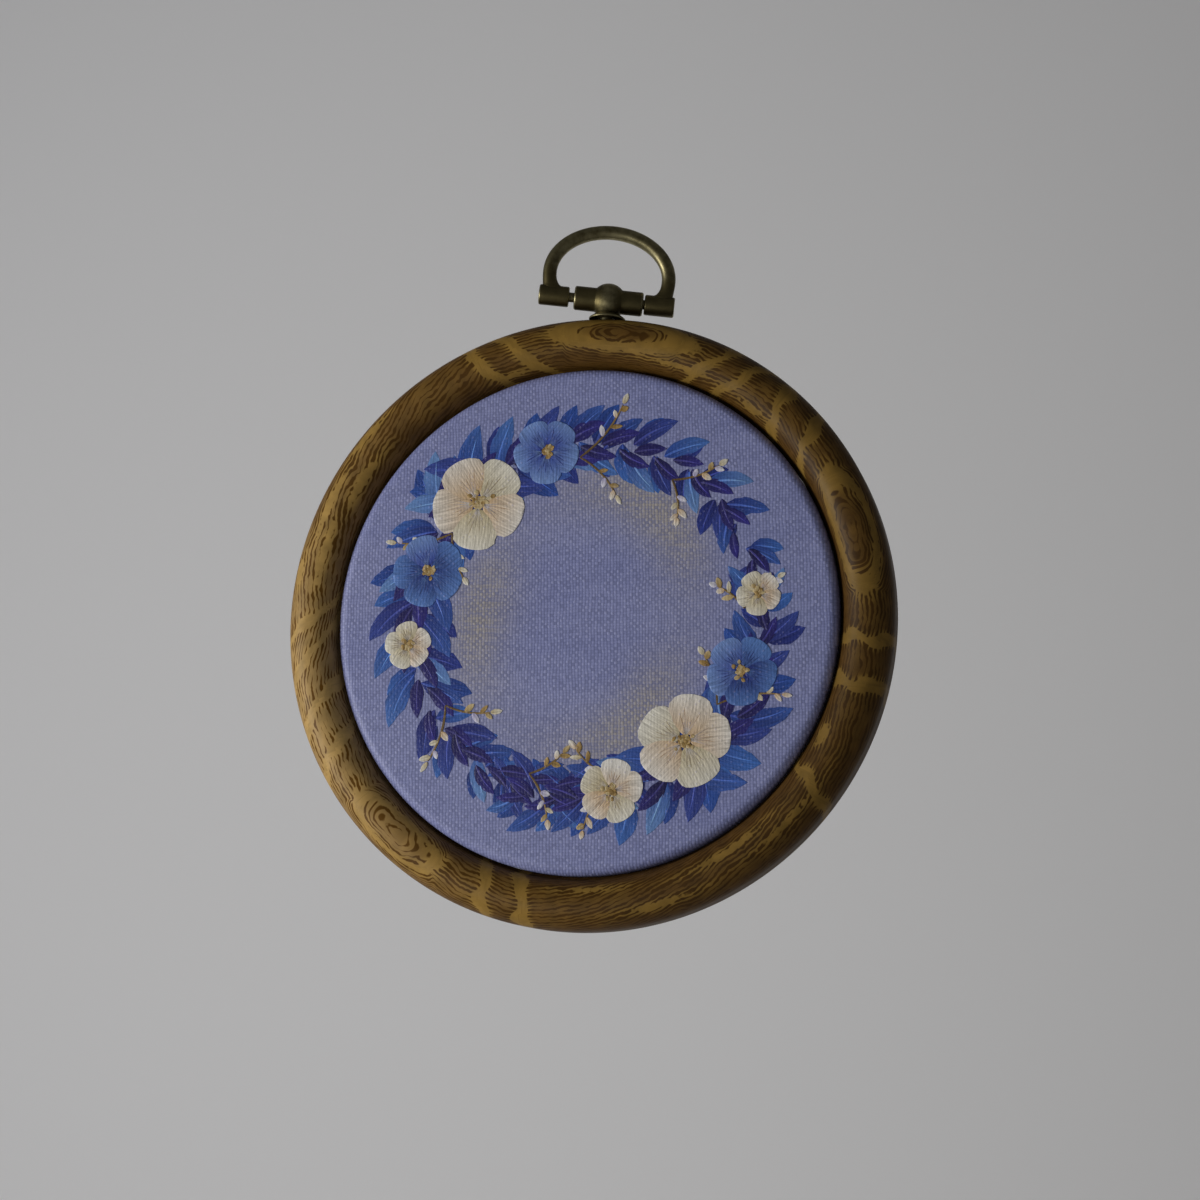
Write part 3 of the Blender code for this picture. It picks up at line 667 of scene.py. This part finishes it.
def printed_vinyl():
    """Soft vinyl with a woodgrain print: broken dark lines 0.9 mm apart on a brown wash, and ochre bands.

    A painted sheen makes the ring's lower left paler and greyer with fewer lines, and painted shade
    darkens it towards the right. The skin is matt with a fine grain, drawn 0.7 mm coarse so that it shows.
    """
    material, tree, shader = new_material("soft_vinyl_woodgrain_print", 0.5, ior=1.53)
    shader.inputs["Specular IOR Level"].default_value = 0.16
    lines = add(tree, "ShaderNodeAttribute", out="Fac", attribute_name="grain_lines")
    edge = add(tree, "ShaderNodeAttribute", out="Fac", attribute_name="plain_edge")
    round_ring = add(tree, "ShaderNodeAttribute", out="Vector", attribute_name="round_ring")
    flow = add(tree, "ShaderNodeTexNoise", {"Vector": round_ring, "Scale": 0.11, "Detail": 1.0})
    quiver = add(tree, "ShaderNodeTexNoise", {"Vector": round_ring, "Scale": 0.7, "Detail": 1.0})
    bent = add(tree, "ShaderNodeMath", {0: flow, 1: 3.4, 2: lines}, operation="MULTIPLY_ADD")
    moved = add(tree, "ShaderNodeMath", {0: quiver, 1: 0.7, 2: bent}, operation="MULTIPLY_ADD")
    pitched = add(tree, "ShaderNodeMath", {0: moved, 1: 1 / LINE_PITCH}, operation="MULTIPLY")
    centred = add(tree, "ShaderNodeMath", {0: pitched, 1: 0.5}, operation="PINGPONG")
    line_number = add(tree, "ShaderNodeMath", {0: pitched}, operation="FLOOR")
    around = add(tree, "ShaderNodeSeparateXYZ", {0: round_ring}).node.outputs
    own_row = add(tree, "ShaderNodeMath", {0: line_number, 1: 23.7}, operation="MULTIPLY")
    on_line = add(tree, "ShaderNodeCombineXYZ", {0: around[0], 1: around[1], 2: own_row})
    dashes = add(
        tree, "ShaderNodeTexNoise", {"Vector": on_line, "Scale": 0.27, "Detail": 2.0, "Roughness": 0.6}
    )
    # Painted light: the tone lifts the lower left as a painted sheen and darkens the right as painted shade
    painted_light_level = add(tree, "ShaderNodeAttribute", out="Fac", attribute_name="painted_light_tone")
    painted_sheen = add(
        tree, "ShaderNodeMapRange",
        {"Value": painted_light_level, "From Min": 0.75, "From Max": 1.5, "To Min": 0.0, "To Max": 0.35},
    )
    near_edge = add(
        tree, "ShaderNodeMapRange",
        {"Value": edge, "From Min": 0.3, "From Max": 2.2, "To Min": 0.13, "To Max": 0.0},
    )
    needed = add(
        tree, "ShaderNodeMapRange",
        {"Value": dashes, "From Min": 0.4, "From Max": 0.62, "To Min": 0.2, "To Max": 0.47},
    )
    # Fewer lines under the painted sheen
    sparser = add(tree, "ShaderNodeMath", {0: painted_sheen, 1: 0.25, 2: needed}, operation="MULTIPLY_ADD")
    eased = add(tree, "ShaderNodeMath", {0: sparser, 1: near_edge}, operation="SUBTRACT")
    over = add(tree, "ShaderNodeMath", {0: centred, 1: eased}, operation="SUBTRACT")
    ink = add(
        tree, "ShaderNodeMapRange",
        {"Value": over, "From Min": -0.03, "From Max": 0.08, "To Min": 0.0, "To Max": 1.0},
    )
    ragged = add(tree, "ShaderNodeTexNoise", {"Vector": on_line, "Scale": 0.9, "Detail": 1.0})
    reach = add(tree, "ShaderNodeMath", {0: ragged, 1: 1.3, 2: edge}, operation="MULTIPLY_ADD")
    field = add(
        tree, "ShaderNodeMapRange",
        {"Value": reach, "From Min": 0.55, "From Max": 0.85, "To Min": 0.0, "To Max": 1.0},
        interpolation_type="SMOOTHSTEP",
    )
    soft_field = add(
        tree, "ShaderNodeMapRange",
        {"Value": edge, "From Min": 0.0, "From Max": 1.2, "To Min": 0.0, "To Max": 1.0},
        interpolation_type="SMOOTHSTEP",
    )
    mottled = add(tree, "ShaderNodeTexNoise", {"Vector": round_ring, "Scale": 0.12, "Detail": 2.0})
    fine = add(tree, "ShaderNodeVectorMath", {0: round_ring, 1: (0.4, 0.4, 3.0)}, operation="MULTIPLY")
    fibres = add(tree, "ShaderNodeTexNoise", {"Vector": fine, "Scale": 1.0, "Detail": 2.0})
    ochre = add(
        tree, "ShaderNodeMix",
        {0: mottled, 6: linear("#A07C36"), 7: linear("#BA9346")}, out=2, data_type="RGBA",
    )
    brown = add(
        tree, "ShaderNodeMix",
        {0: fibres, 6: linear("#64441C"), 7: linear("#88642B")}, out=2, data_type="RGBA",
    )
    wash = add(tree, "ShaderNodeAttribute", out="Fac", attribute_name="brown_wash_less_painted_sheen")
    patchy = add(tree, "ShaderNodeMath", {0: mottled, 1: 1.1, 2: wash}, operation="MULTIPLY_ADD")
    washed = add(tree, "ShaderNodeMath", {0: patchy, 1: soft_field}, operation="MULTIPLY", use_clamp=True)
    wood = add(tree, "ShaderNodeMix", {0: washed, 6: ochre, 7: brown}, out=2, data_type="RGBA")
    inked = add(tree, "ShaderNodeMath", {0: ink, 1: field}, operation="MULTIPLY")
    # The painted sheen greys the print towards a pale tan
    with_painted_sheen = add(tree, "ShaderNodeMix", {0: painted_sheen, 6: wood, 7: linear("#8F8470")}, out=2, data_type="RGBA")
    printed = add(
        tree, "ShaderNodeMix", {0: inked, 6: with_painted_sheen, 7: linear("#5E3F10")}, out=2, data_type="RGBA"
    )
    smoky = add(tree, "ShaderNodeTexNoise", {"Vector": round_ring, "Scale": 0.35, "Detail": 3.0})
    smoke = add(
        tree, "ShaderNodeMapRange",
        {"Value": smoky, "From Min": 0.3, "From Max": 0.7, "To Min": 0.82, "To Max": 1.18},
    )
    # Random smoky tone, times the painted light level
    tone = add(tree, "ShaderNodeMath", {0: smoke, 1: painted_light_level}, operation="MULTIPLY")
    colour = add(tree, "ShaderNodeVectorMath", {0: printed, "Scale": tone}, operation="SCALE")
    tree.links.new(colour, shader.inputs["Base Color"])
    place = add(tree, "ShaderNodeTexCoord", out="Object")
    skin = add(tree, "ShaderNodeTexNoise", {"Vector": place, "Scale": 1500.0, "Detail": 3.0})
    relief = add(tree, "ShaderNodeMath", {0: inked, 1: -0.5, 2: skin}, operation="MULTIPLY_ADD")
    bump = add(tree, "ShaderNodeBump", {"Height": relief, "Strength": 0.3, "Distance": 0.00005})
    tree.links.new(bump, shader.inputs["Normal"])
    return material


half_turn = np.linspace(math.pi / 2, -math.pi / 2, 45)
ring_front = np.stack([RING_MID + RING_SECTION * np.sin(half_turn), -RING_SECTION * np.cos(half_turn)], 1)
behind_edge = RING_BACK - RING_BACK_EDGE
inner_edge = np.stack([
    RING_BORE + RING_BACK_EDGE * (1 - np.cos(quarter)), behind_edge + RING_BACK_EDGE * np.sin(quarter)
], 1)
outer_edge = np.stack([
    RING_OUTER - RING_BACK_EDGE * (1 - np.sin(quarter)), behind_edge + RING_BACK_EDGE * np.cos(quarter)
], 1)
grip = np.array([(CANVAS_RADIUS + 0.1, 0.8), (RING_GRIP, 1.6), (RING_GRIP, 2.9)])
flat_back = np.stack([np.linspace(RING_BORE + RING_BACK_EDGE, RING_OUTER - RING_BACK_EDGE, 16)[1:-1]], 1)
flat_back = np.concatenate([flat_back, np.full_like(flat_back, RING_BACK)], 1)
outer_wall = np.array([(RING_OUTER, y) for y in np.linspace(behind_edge, 0, 8)[1:-1]])
ring_profile = np.concatenate([
    grip[-1:], inner_edge, flat_back, outer_edge, outer_wall, ring_front, grip[:-1]
])
ring_points = turned(ring_profile, RING_STEPS)
rows, columns = ring_points.shape[:2]
ring_quads = grid_faces(rows, columns)
closed_profile = np.concatenate([ring_profile, ring_profile[:1]])
arc_length = np.concatenate([[0], np.cumsum(np.linalg.norm(np.diff(closed_profile, axis=0), axis=1))])
outwards = arc_length[np.argmin(closed_profile[:, 1])] - arc_length
degree_grid, outward_grid = np.meshgrid(np.linspace(0, 360, rows + 1), outwards, indexing="ij")
lines_map, edge_map = grain_print(degree_grid, outward_grid)
wash_less_painted_sheen_map = 0.3 + 0.4 * np.clip((np.abs(outward_grid - 0.8) - 2.5) / 4, 0, 1)
# Painted light round the ring: a painted sheen on its lower left takes brown out of the wash and lifts the
# tone, and painted shade lowers the tone towards the right
painted_sheen_side = np.exp(-(((degree_grid - 248) / 45) ** 2))
wash_less_painted_sheen_map -= 0.6 * painted_sheen_side
painted_light_map = 0.67 - 0.15 * np.cos(np.radians(degree_grid - 95)) + 0.65 * painted_sheen_side
angle_grid = np.radians(degree_grid)
ring_map = np.stack([RING_MID * np.cos(angle_grid), RING_MID * np.sin(angle_grid), lines_map], -1)
unwrapped = grid_faces(rows + 1, columns + 1, False, False)
corner_values = {
    "grain_lines": lines_map.ravel()[unwrapped],
    "plain_edge": edge_map.ravel()[unwrapped],
    "brown_wash_less_painted_sheen": wash_less_painted_sheen_map.ravel()[unwrapped],
    "painted_light_tone": painted_light_map.ravel()[unwrapped],
    "round_ring": ring_map.reshape(-1, 3)[unwrapped],
}
vinyl_ring = build("vinyl_ring", ring_points, ring_quads, corner_values=corner_values, sharp=40)
vinyl_ring.data.materials.append(printed_vinyl())
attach(vinyl_ring, "hoop")
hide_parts("outer_ring")

# Hanger foot
# A pressed cup washer on the ring that follows its curve, and above it a cast knuckle: a ball between two
# barrels, drilled for the hinge pin, on a stem let down into the vinyl. All of it is plated as antique brass.
hinge = frame["joints"][0]
PIN_AT = np.array(hinge["pos_m"]) / MM
ACROSS = np.array(hinge["axis"]) / np.linalg.norm(hinge["axis"])
TURN, LEAN = math.atan2(ACROSS[1], ACROSS[0]), -math.asin(ACROSS[2])
STEM = np.array([math.sin(LEAN) * math.cos(TURN), math.sin(LEAN) * math.sin(TURN), math.cos(LEAN)])
RING_TOP = ring_high[2]
WASHER_RADIUS, WASHER_CROWN, WASHER_HOLE, WASHER_HEIGHT, WASHER_SHEET = 3.75, 2.5, 1.6, 1.25, 0.35
BALL, BARREL, BARREL_END, BARREL_CHAMFER = 3.65, 2.48, 7.1, 0.5
BORE, STEM_RADIUS, STEM_CHAMFER, STEM_TOP, STEM_INTO_RING = 1.3, 1.2, 0.2, -2.0, 6.2
HOLE_TOP = -1.5
HANGER_STEPS, STEM_STEPS = 96, 64
# Where rubbing begins and how far on it is full, in mm: out from the washer's middle, out from the pin's
# axis, and along that axis at the knuckle's ends, there only farther from the axis than END_FACE_FROM
WASHER_RUB, BALL_RUB, KNUCKLE_END_RUB = (3.0, 0.9), (2.6, 1.4), (6.55, 0.3)
END_FACE_FROM = 1.7


def antique_brass():
    """Antiqued brass plate: a dark olive-brown patina in blotches 2.4 mm across, over a cast zinc skin.

    Crowns and rims are rubbed back to a paler olive brass with more gloss. The grain of the casting is drawn
    0.3 mm coarse so that it shows.
    """
    material, tree, shader = new_material("brass_plate_antiqued", 0.4, metallic=1.0)
    place = add(tree, "ShaderNodeTexCoord", out="Object")
    rubbed = add(tree, "ShaderNodeAttribute", out="Fac", attribute_name="rubbed")
    blotch = add(
        tree, "ShaderNodeTexNoise", {"Vector": place, "Scale": 420.0, "Detail": 5.0, "Roughness": 0.65}
    )
    grain = add(tree, "ShaderNodeTexNoise", {"Vector": place, "Scale": 3600.0, "Detail": 3.0})
    patina = add(
        tree, "ShaderNodeMix",
        {0: blotch, 6: linear("#463F2A"), 7: linear("#766C49")}, out=2, data_type="RGBA",
    )
    worn = add(tree, "ShaderNodeMath", {0: blotch, 1: rubbed}, operation="MULTIPLY")
    share = add(
        tree, "ShaderNodeMapRange",
        {"Value": worn, "From Min": 0.18, "From Max": 0.6, "To Min": 0.0, "To Max": 0.85},
    )
    colour = add(tree, "ShaderNodeMix", {0: share, 6: patina, 7: linear("#B2AA84")}, out=2, data_type="RGBA")
    tree.links.new(colour, shader.inputs["Base Color"])
    gloss = add(
        tree, "ShaderNodeMapRange",
        {"Value": share, "From Min": 0.0, "From Max": 0.85, "To Min": 0.46, "To Max": 0.37},
    )
    tree.links.new(gloss, shader.inputs["Roughness"])
    relief = add(tree, "ShaderNodeMath", {0: blotch, 1: 1.5, 2: grain}, operation="MULTIPLY_ADD")
    bump = add(tree, "ShaderNodeBump", {"Height": relief, "Strength": 0.25, "Distance": 0.00004})
    tree.links.new(bump, shader.inputs["Normal"])
    return material


def combined(name, body, others, operation, sharp=32):
    """The body with closed helpers joined to it or cut from it, as one mesh; the helpers are used up."""
    for other in others:
        modifier = body.modifiers.new(other.name, "BOOLEAN")
        modifier.operation, modifier.solver, modifier.object = operation, "EXACT", other
    graph = bpy.context.evaluated_depsgraph_get()
    mesh = bpy.data.meshes.new_from_object(body.evaluated_get(graph))
    body.modifiers.clear()
    body.data, body.name, mesh.name = mesh, name, name
    for other in others:
        bpy.data.objects.remove(other)
    mesh.shade_smooth()
    mesh.set_sharp_from_angle(angle=math.radians(sharp))
    return body


def on_pin(profile):
    """A (radius, along) profile turned round the hinge pin's axis."""
    return turned(profile, HANGER_STEPS, PIN_AT, ACROSS, STEM)


def solid_of(name, profile, place=on_pin):
    """A turned piece whose profile starts and ends on the axis: one flat face closes each of its ends."""
    points = place(profile[1:-1])
    rows, columns = points.shape[:2]
    ends = np.stack([np.arange(rows)[::-1] * columns, np.arange(rows) * columns + columns - 1])
    return build(name, points, grid_faces(rows, columns, round_columns=False), ends)


def finish_brass(piece, rubbed):
    """Stores how rubbed each vertex is, from 0 to 1, and gives the piece its plate."""
    values = np.clip(rubbed, 0, 1).astype(np.float32)
    piece.data.attributes.new("rubbed", "FLOAT", "POINT").data.foreach_set("value", values)
    piece.data.materials.clear()
    piece.data.materials.append(plate)


def vertices_of(piece):
    """The piece's vertices in mm."""
    flat = np.zeros(len(piece.data.vertices) * 3, np.float32)
    piece.data.vertices.foreach_get("co", flat)
    return flat.reshape(-1, 3) / MM


def on_stem(profile):
    """A (radius, height) profile turned round the stem's axis, with heights from the pin."""
    return turned(profile, STEM_STEPS, PIN_AT, STEM, ACROSS)


plate = antique_brass()
washer_outline = rounded(
    [(WASHER_HOLE, 0.2), (WASHER_CROWN - 0.1, WASHER_HEIGHT - WASHER_SHEET * 1.3), (WASHER_RADIUS, 0.05),
     (WASHER_RADIUS + 0.05, WASHER_SHEET + 0.05), (WASHER_CROWN, WASHER_HEIGHT + 0.05), (WASHER_HOLE, 0.55)],
    [0.1, 0.3, 0.08, 0.12, 0.3, 0.1],
)
washer_points = turned(washer_outline, HANGER_STEPS, RING_TOP * UP, UP, np.array([1.0, 0, 0]))
washer_points[..., 2] -= washer_points[..., 0] ** 2 / (2 * RING_OUTER)
washer = build("foot_washer", washer_points, grid_faces(*washer_points.shape[:2]), sharp=60)
finish_brass(washer, (np.hypot(*vertices_of(washer)[:, :2].T) - WASHER_RUB[0]) / WASHER_RUB[1])
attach(washer, "hoop")
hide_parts("hanger_washer")

ball_half_angle = math.acos((BARREL + 0.05) / BALL)
ball_arc = np.linspace(-ball_half_angle, ball_half_angle, 33)
ball_curve = np.stack([BALL * np.cos(ball_arc), BALL * np.sin(ball_arc)], 1)
barrel_side = rounded(
    [(BORE, -BARREL_END), (BARREL, -BARREL_END), (BARREL, 0), (BORE, 0)], [0.15, BARREL_CHAMFER, 0.01, 0.01]
)[:2 * (ROUND_STEPS + 1)]
ball_meets = math.sqrt(BALL**2 - BARREL**2)
foot_of_ball = np.array([(BARREL + 0.015, -ball_meets - 0.06), (BARREL, -ball_meets - 0.22), (BARREL, -4.6)])
half_outline = np.concatenate([barrel_side, foot_of_ball[::-1]])
knuckle_profile = np.concatenate([half_outline, ball_curve, half_outline[::-1] * (1, -1)])
knuckle_points = on_pin(knuckle_profile)
knuckle = build("hinge_knuckle", knuckle_points, grid_faces(*knuckle_points.shape[:2]))
stem_end = -(PIN_AT[2] - RING_TOP) - STEM_INTO_RING
stem_profile = [(0, stem_end), (STEM_RADIUS - STEM_CHAMFER, stem_end),
                (STEM_RADIUS, stem_end + STEM_CHAMFER), (STEM_RADIUS, STEM_TOP), (0, STEM_TOP)]
stem = solid_of("stem", stem_profile, on_stem)
knuckle = combined("hinge_knuckle", knuckle, [stem], "UNION")
reach = vertices_of(knuckle) - PIN_AT
side_way = np.abs(reach @ ACROSS)
from_axis = np.linalg.norm(reach - np.outer(reach @ ACROSS, ACROSS), axis=1)
ends_rubbed = (side_way - KNUCKLE_END_RUB[0]) / KNUCKLE_END_RUB[1] * (from_axis > END_FACE_FROM)
finish_brass(knuckle, np.maximum(ends_rubbed, (from_axis - BALL_RUB[0]) / BALL_RUB[1]))
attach(knuckle, "hoop")
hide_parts("hanger_knuckle")
hole_low = stem_end - FIT_GAP
hole_profile = [(0, hole_low), (STEM_HOLE, hole_low), (STEM_HOLE, HOLE_TOP), (0, HOLE_TOP)]
combined("vinyl_ring", vinyl_ring, [solid_of("stem_hole", hole_profile, on_stem)], "DIFFERENCE", sharp=40)

# Bail and pin
# The pin is a plain brass rod. The bail is a round wire bent to a D, cast in one with a barrel at each foot
# that an end of the pin is pressed into; a small fillet runs round each leg where it meets its barrel.
PIN_RADIUS, PIN_CHAMFER = 1.0, 0.2
BAIL_SHIFT = -0.4
WIRE_RADIUS, WIRE_HALF_WIDTH, WIRE_SPRING, WIRE_RISE = 1.43, 12.3, 5.2, 9.4
LEG_FOOT, LEG_LEAN_IN = 0.6, 0.9
FILLET_WIDTH, FILLET_HEIGHT = 1.0, 2.4
END_BARREL, END_FROM, END_LENGTH, END_CHAMFER, END_BLIND = 2.1, 7.8, 6.2, 0.4, 1.0
WIRE_STEPS, WIRE_SIDES = 160, 40
# Rubbed rims of the end barrels, in mm: how far out they lie, their edge's width, and how high they reach
RIM_INNER, RIM_OUTER, RIM_EDGE, RIM_RISE = 8.15, 13.6, 0.3, 2.3
# Rubbed arch: its start and fade in mm, its share on the centre line, what the wire's inner and outer sides
# add, and how far off the centre line they lie, as a share of the arch's size
ARCH_FROM, ARCH_FADE, ARCH_RUB, SIDE_RUB, SIDE_AT = 2.5, 4, 0.52, 0.35, 0.12

pin_reach = END_FROM + END_LENGTH - END_BLIND - FIT_GAP
pin_left, pin_right = BAIL_SHIFT - pin_reach, BAIL_SHIFT + pin_reach
pin_profile = [
    (0, pin_left), (PIN_RADIUS - PIN_CHAMFER, pin_left), (PIN_RADIUS, pin_left + PIN_CHAMFER),
    (PIN_RADIUS, pin_right - PIN_CHAMFER), (PIN_RADIUS - PIN_CHAMFER, pin_right), (0, pin_right),
]
pin = solid_of("hinge_rod", pin_profile)
finish_brass(pin, np.full(len(pin.data.vertices), 0.5))
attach(pin, "hanger")
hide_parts("hinge_pin")

# The wire's centre line: half an ellipse on two legs that curve in by the square of their depth
around = np.linspace(0, math.pi, WIRE_STEPS)
arch = np.stack([WIRE_HALF_WIDTH * np.cos(around), WIRE_SPRING + WIRE_RISE * np.sin(around)], 1)
depth = np.linspace(1, 0, 24)[:-1, None]
leg_out, leg_up = WIRE_HALF_WIDTH - LEG_LEAN_IN * depth**2, WIRE_SPRING - (WIRE_SPRING - LEG_FOOT) * depth
right_leg = np.concatenate([leg_out, leg_up], 1)
path = np.concatenate([right_leg, arch, right_leg[::-1] * (-1, 1)]) + (BAIL_SHIFT, 0)
along_wire = np.gradient(path, axis=0)
along_wire /= np.linalg.norm(along_wire, axis=1, keepdims=True)
sideways = np.stack([along_wire[:, 1], -along_wire[:, 0]], 1)
on_leg = path[:, 1:] < WIRE_SPRING
sideways = np.where(on_leg, np.sign(path[:, :1]) * (1, 0), sideways)
ring_angle = np.linspace(0, math.tau, WIRE_SIDES, endpoint=False)[None, :]
barrel_height = np.sqrt(END_BARREL**2 - (WIRE_RADIUS * np.sin(ring_angle)) ** 2)
above_barrel = np.clip((path[:, 1:] - barrel_height) / FILLET_HEIGHT, 0, 1)
flare = (1 - np.sqrt(1 - (1 - above_barrel) ** 2)) * on_leg
inner_side = 0.2 + 0.8 * np.clip(-np.cos(ring_angle), 0, 1) ** 2
thickness = (WIRE_RADIUS + FILLET_WIDTH * flare * inner_side)[..., None]
ring_angle = ring_angle[..., None]
THROUGH = np.cross(ACROSS, STEM)
centre_line = PIN_AT + path[:, :1] * ACROSS + path[:, 1:] * STEM
side_3d = sideways[:, :1] * ACROSS + sideways[:, 1:] * STEM
wire_points = centre_line[:, None] + thickness * (
    side_3d[:, None] * np.cos(ring_angle) + THROUGH * np.sin(ring_angle)
)
rows, columns = wire_points.shape[:2]
wire_ends = np.stack([np.arange(columns)[::-1], (rows - 1) * columns + np.arange(columns)])
bail = build("hanging_bail", wire_points, grid_faces(rows, columns, round_rows=False), wire_ends)
barrels, bores = [], []
for side in (-1, 1):
    near, far = BAIL_SHIFT + side * END_FROM, BAIL_SHIFT + side * (END_FROM + END_LENGTH)
    outline = rounded(
        [(0, near), (END_BARREL, near), (END_BARREL, far), (0, far)], [0.01, END_CHAMFER, END_CHAMFER, 0.01]
    )
    off_axis = outline[:, 0] > 0.2
    barrels.append(solid_of(f"barrel_{side}", [(0, near), *outline[off_axis], (0, far)]))
    mouth, bottom = near - side * FIT_GAP, far - side * END_BLIND
    bores.append(solid_of(f"bore_{side}", [(0, mouth), (BORE, mouth), (BORE, bottom), (0, bottom)]))
combined("hanging_bail", bail, barrels, "UNION")
combined("hanging_bail", bail, bores, "DIFFERENCE")
reach = vertices_of(bail) - PIN_AT
side_way, rise = np.abs(reach @ ACROSS - BAIL_SHIFT), reach @ STEM
ends_rubbed = np.maximum(side_way - RIM_OUTER, RIM_INNER - side_way) / RIM_EDGE * (rise < RIM_RISE)
from_centre = np.hypot(side_way / WIRE_HALF_WIDTH, (rise - WIRE_SPRING) / WIRE_RISE)
arch_rubbed = np.clip((rise - ARCH_FROM) / ARCH_FADE, 0, 1)
arch_rubbed *= ARCH_RUB + SIDE_RUB * np.abs(from_centre - 1) / SIDE_AT
finish_brass(bail, np.maximum(ends_rubbed, arch_rubbed))
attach(bail, "hanger")
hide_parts("hanger_bail")

# Floor, backdrop, light and camera
# A pale floor that sweeps up into a pale backdrop, with a soft window light from the left, a weak fill from
# the front and a wide light on the backdrop. The camera is to the hoop's right and below it, rolled a little.
STAGE_FLOOR, STAGE_BACK, STAGE_HALF, STAGE_BEND = -900.0, 900.0, 3000.0, 400.0
CAMERA_AZIMUTH, CAMERA_ELEVATION, CAMERA_ROLL = math.radians(14), math.radians(-9), math.radians(4.15)
CAMERA_DISTANCE = 500.0
PIXELS_PER_MM = 4.96
FRAME_PIXELS = 1200
HOOP_AT_PIXEL = (585.45, 619.7)

bend = np.linspace(0, math.pi / 2, 17)
sweep = np.concatenate([
    [(-STAGE_HALF, STAGE_FLOOR)],
    np.stack([
        STAGE_BACK - STAGE_BEND * (1 - np.sin(bend)), STAGE_FLOOR + STAGE_BEND * (1 - np.cos(bend))
    ], 1),
    [(STAGE_BACK, STAGE_HALF)],
])
sides = np.array([-STAGE_HALF, STAGE_HALF])
stage_points = np.stack([
    np.broadcast_to(sides[:, None], (2, len(sweep))), np.broadcast_to(sweep[:, 0], (2, len(sweep))),
    np.broadcast_to(sweep[:, 1], (2, len(sweep))),
], -1)
stage = build("studio_sweep", stage_points, grid_faces(2, len(sweep), False, False))
paper, _, paper_shader = new_material("backdrop_paper_matt", 0.9)
paper_shader.inputs["Base Color"].default_value = linear("#E8E7E6")
stage.data.materials.append(paper)

toward = np.array([
    math.sin(CAMERA_AZIMUTH) * math.cos(CAMERA_ELEVATION),
    -math.cos(CAMERA_AZIMUTH) * math.cos(CAMERA_ELEVATION),
    math.sin(CAMERA_ELEVATION),
])
level = np.cross(UP, toward) / np.linalg.norm(np.cross(UP, toward))
upright = np.cross(toward, level)
picture_right = level * math.cos(CAMERA_ROLL) + upright * math.sin(CAMERA_ROLL)
picture_up = upright * math.cos(CAMERA_ROLL) - level * math.sin(CAMERA_ROLL)
offset = (FRAME_PIXELS / 2 - np.array(HOOP_AT_PIXEL)) / PIXELS_PER_MM
hoop_middle = np.array([0, 0, HOOP_CENTRE[2]])
camera_at = hoop_middle + toward * CAMERA_DISTANCE
look_at = hoop_middle + picture_right * offset[0] - picture_up * offset[1]
back_axis = (camera_at - look_at) / np.linalg.norm(camera_at - look_at)
right_axis = picture_right - back_axis * (picture_right @ back_axis)
right_axis /= np.linalg.norm(right_axis)
camera_data = bpy.data.cameras.new("camera")
camera_data.sensor_width = 36
camera_data.lens = PIXELS_PER_MM * CAMERA_DISTANCE / FRAME_PIXELS * camera_data.sensor_width
camera_data.clip_start, camera_data.clip_end = 0.01, 20
camera = bpy.data.objects.new("camera", camera_data)
place = np.eye(4)
place[:3, :3] = np.stack([right_axis, np.cross(back_axis, right_axis), back_axis], 1)
place[:3, 3] = camera_at * MM
camera.matrix_world = Matrix(place)
bpy.context.scene.collection.objects.link(camera)
bpy.context.scene.camera = camera


def soft_light(name, direction, distance, size, power, colour, facing=None):
    """A square area light in a direction from the hoop's middle, facing it or as told; metres and watts."""
    data = bpy.data.lights.new(name, "AREA")
    data.shape, data.size, data.energy, data.color = "SQUARE", size, power, colour
    light = bpy.data.objects.new(name, data)
    away = np.array(direction) / np.linalg.norm(direction)
    behind = away if facing is None else -np.array(facing, float)
    across = np.cross(UP, behind) / np.linalg.norm(np.cross(UP, behind))
    matrix = np.eye(4)
    matrix[:3, :3] = np.stack([across, np.cross(behind, across), behind], 1)
    matrix[:3, 3] = hoop_middle * MM + away * distance
    light.matrix_world = Matrix(matrix)
    light.visible_camera = False
    bpy.context.scene.collection.objects.link(light)


soft_light("window_light", (-0.80, -0.46, -0.12), 0.8, 0.25, 3.4, (1.0, 0.985, 0.96))
soft_light("front_fill", (-0.30, -0.80, -0.42), 1.0, 0.25, 1.1, (1.0, 0.985, 0.96))
soft_light("backdrop_light", (-0.85, 0.22, 0.12), 0.65, 1.5, 3.3, (0.985, 1.0, 1.04), facing=(0.1, 1, 0))
world = bpy.data.worlds.new("soft_room")
bpy.context.scene.world = world
world.use_nodes = True
world.node_tree.nodes["Background"].inputs["Color"].default_value = linear("#E6E6E8")
world.node_tree.nodes["Background"].inputs["Strength"].default_value = 0.13
bpy.context.scene.view_settings.view_transform = "Standard"
